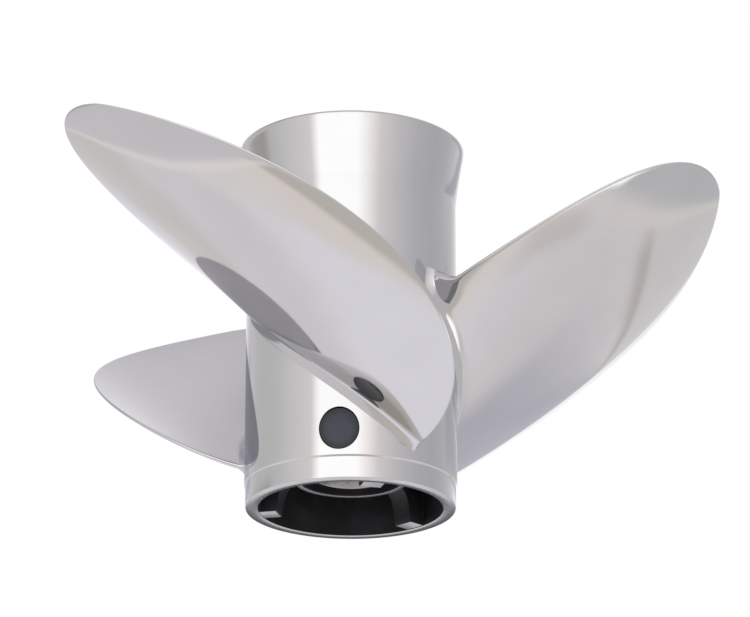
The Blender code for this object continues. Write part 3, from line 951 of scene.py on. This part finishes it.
# How far a sheet's edges let it cover, from 0 to its own share
def sheetCover(tree, place, share, edges):
    cover = addNode(tree, "ShaderNodeValue")
    cover.outputs[0].default_value = share
    for weights, start, softness in edges:
        along = addNode(tree, "ShaderNodeVectorMath", {"operation": "DOT_PRODUCT", 1: weights}, {0: place})
        edge = addNode(tree, "ShaderNodeMapRange", {
            "interpolation_type": "SMOOTHSTEP", 1: start - softness / 2, 2: start + softness / 2},
            {0: (along, 1)})
        cover = addNode(tree, "ShaderNodeMath", {"operation": "MULTIPLY"}, {0: (cover, 0), 1: (edge, 0)})
    return cover


def makeLightTable():
    bpy.ops.object.select_all(action="DESELECT")
    bpy.ops.mesh.primitive_plane_add(size=2 * lightTable["halfSize"],
                                     location=(0, 0, rimZ - lightTable["depth"]))
    piece = rename(bpy.context.object, "lightTable")
    settlePlace(piece)
    material = bpy.data.materials.new("litPaper")
    material.use_nodes = True
    tree = material.node_tree
    tree.nodes.clear()
    place = addNode(tree, "ShaderNodeTexCoord")
    flat = addNode(tree, "ShaderNodeSeparateXYZ", None, {0: (place, "Object")})
    away = addNode(tree, "ShaderNodeMath", {"operation": "SUBTRACT", 1: lightTable["bowMiddle"]},
                   {0: (flat, 0)})
    bow = addNode(tree, "ShaderNodeMath", {"operation": "MULTIPLY"}, {0: (away, 0), 1: (away, 0)})
    spot = addNode(tree, "ShaderNodeCombineXYZ", None, {0: (flat, 0), 1: (flat, 1), 2: (bow, 0)})
    paper = addNode(tree, "ShaderNodeRGB")
    paper.outputs[0].default_value = colour(lightTable["tone"])
    tone = (paper, 0)
    for sheetTone, share, edges in lightTable["sheets"]:
        cover = sheetCover(tree, (spot, 0), share, edges)
        tone = (addNode(tree, "ShaderNodeMix", {"data_type": "RGBA", 7: colour(sheetTone)},
                        {0: (cover, 0), 6: tone}), 2)
    glow = addNode(tree, "ShaderNodeEmission", {"Strength": 1 / steelReflectance}, {"Color": tone})
    addNode(tree, "ShaderNodeOutputMaterial", None, {"Surface": (glow, 0)})
    piece.data.materials.append(material)
    piece.visible_camera = False


# Share of a whole turn at which the ramp of wall tones has this azimuth
def turnShare(degrees):
    return (degrees - walls["startDeg"]) / 360


def makeWorld():
    world = bpy.data.worlds.new("lightTent")
    bpy.context.scene.world = world
    world.use_nodes = True
    tree = world.node_tree
    tree.nodes.clear()
    place = addNode(tree, "ShaderNodeTexCoord")
    way = addNode(tree, "ShaderNodeSeparateXYZ", None, {0: (place, "Generated")})
    azimuth = addNode(tree, "ShaderNodeMath", {"operation": "ARCTAN2"}, {0: (way, 1), 1: (way, 0)})
    turn = addNode(tree, "ShaderNodeMath", {"operation": "MULTIPLY_ADD", 1: 1 / math.tau, 2: turnShare(0)},
                   {0: (azimuth, 0)})
    turn = addNode(tree, "ShaderNodeMath", {"operation": "FRACT"}, {0: (turn, 0)})
    ramp = addNode(tree, "ShaderNodeValToRGB", None, {0: (turn, 0)})
    stops = ramp.color_ramp.elements
    while len(stops) > 1:
        stops.remove(stops[0])
    for i, (degrees, tone) in enumerate(walls["tones"]):
        stop = stops[0] if i == 0 else stops.new(turnShare(degrees))
        stop.position, stop.color = turnShare(degrees), colour(tone)
    height = addNode(tree, "ShaderNodeMapRange", {
        "interpolation_type": "SMOOTHSTEP", 1: walls["overheadSines"][0], 2: walls["overheadSines"][1]},
        {0: (way, 2)})
    tent = (addNode(tree, "ShaderNodeMix", {"data_type": "RGBA", 7: colour(walls["overhead"])},
                    {0: (height, 0), 6: (ramp, 0)}), 2)
    # Shades are bounded as the sheets are, in turns round the part and in the sine of the height
    spot = addNode(tree, "ShaderNodeCombineXYZ", None, {0: (turn, 0), 1: (way, 2)})
    for shade in walls["shades"]:
        low, high = (turnShare(degrees) for degrees in shade["azimuths"])
        bottom, top = (math.sin(math.radians(degrees)) for degrees in shade["elevations"])
        side, rise = shade["azimuthSoftness"] / 360, math.radians(shade["elevationSoftness"])
        edges = (((1, 0, 0), low, side), ((-1, 0, 0), -high, side),
                 ((0, 1, 0), bottom, rise), ((0, -1, 0), -top, rise))
        cover = sheetCover(tree, (spot, 0), shade["share"], edges)
        tent = (addNode(tree, "ShaderNodeMix", {"data_type": "RGBA", 7: colour(shade["tone"])},
                        {0: (cover, 0), 6: tent}), 2)
    light = addNode(tree, "ShaderNodeBackground", {"Strength": 1 / steelReflectance}, {"Color": tent})
    backdrop = addNode(tree, "ShaderNodeBackground", {"Color": colour(walls["backdrop"])})
    seen = addNode(tree, "ShaderNodeLightPath")
    both = addNode(tree, "ShaderNodeMixShader", None,
                   {0: (seen, "Is Camera Ray"), 1: (light, 0), 2: (backdrop, 0)})
    addNode(tree, "ShaderNodeOutputWorld", None, {"Surface": (both, 0)})


# The part stands on the floor, and the photograph looks up at it from lower than its rim, so the floor
# shows from above only, and light and reflections come from the lit paper under it
def makeFloor():
    bpy.ops.object.select_all(action="DESELECT")
    bpy.ops.mesh.primitive_plane_add(size=2 * floor["halfSize"], location=(0, 0, rimZ))
    piece = rename(bpy.context.object, "floor")
    settlePlace(piece)
    material, tree, shader = newMaterial("palePaper", {"Roughness": floor["roughness"]})
    place = addNode(tree, "ShaderNodeTexCoord")
    grain = addNode(tree, "ShaderNodeTexNoise", {"Scale": 1 / floor["grainSize"]},
                    {"Vector": (place, "Object")})
    tone = addNode(tree, "ShaderNodeHueSaturation", {"Color": colour(floor["tone"])})
    value = addNode(tree, "ShaderNodeMapRange", {3: 1 - floor["grainShare"], 4: 1.0}, {0: (grain, 0)})
    tree.links.new(value.outputs[0], tone.inputs["Value"])
    tree.links.new(tone.outputs[0], shader.inputs["Base Color"])
    under = addNode(tree, "ShaderNodeNewGeometry")
    clear = addNode(tree, "ShaderNodeBsdfTransparent")
    both = addNode(tree, "ShaderNodeMixShader", None,
                   {0: (under, "Backfacing"), 1: (shader, 0), 2: (clear, 0)})
    tree.links.new(both.outputs[0], tree.nodes["Material Output"].inputs["Surface"])
    piece.data.materials.append(material)
    piece.visible_glossy = piece.visible_diffuse = piece.visible_shadow = False


makeCamera()
makeFloor()
makeLightTable()
makeWorld()
bpy.context.scene.view_settings.view_transform = "Standard"
print("stage set")
